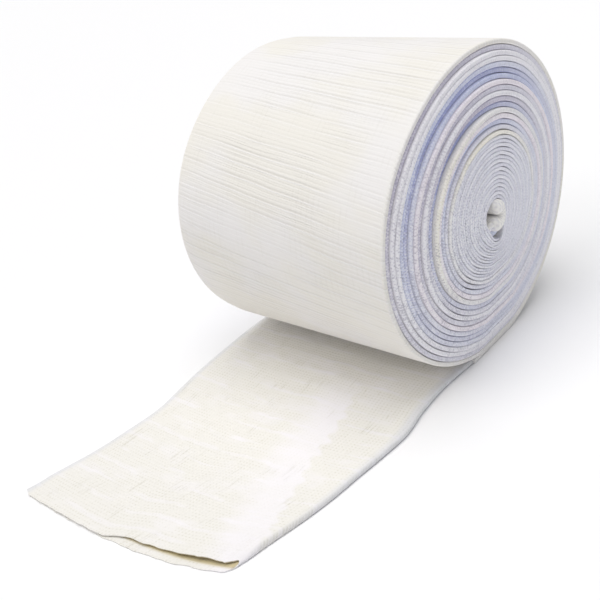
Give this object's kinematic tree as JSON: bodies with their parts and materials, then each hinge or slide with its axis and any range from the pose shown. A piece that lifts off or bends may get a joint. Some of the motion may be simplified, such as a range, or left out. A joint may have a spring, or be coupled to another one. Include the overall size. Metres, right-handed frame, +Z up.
{
  "type": "tubular compression bandage",
  "caption": "Roll of knitted tubular support bandage, wound flat, sagged to a soft oval, its free end unrolled on the surface with an open hollow mouth.",
  "frame": {"origin": "on the surface that the roll rests on, straight below the roll's axis and halfway along its width", "axes": "+X along the roll's axis towards its domed end, -Y along the free end away from the roll, +Z up"},
  "size_m": [0.1392, 0.2485, 0.1299],
  "materials": {
    "knit_roll": "soft matte cotton rib knit, cream outside and pale lavender on the wound ends",
    "knit_tail": "soft matte open knit, off-white with cream bands",
    "knit_start": "soft matte cotton knit, white"
  },
  "bodies": {
    "root": {"wound_roll": "knit_roll", "unwound_tail": "knit_tail", "folded_start": "knit_start"}
  },
  "joints": []
}
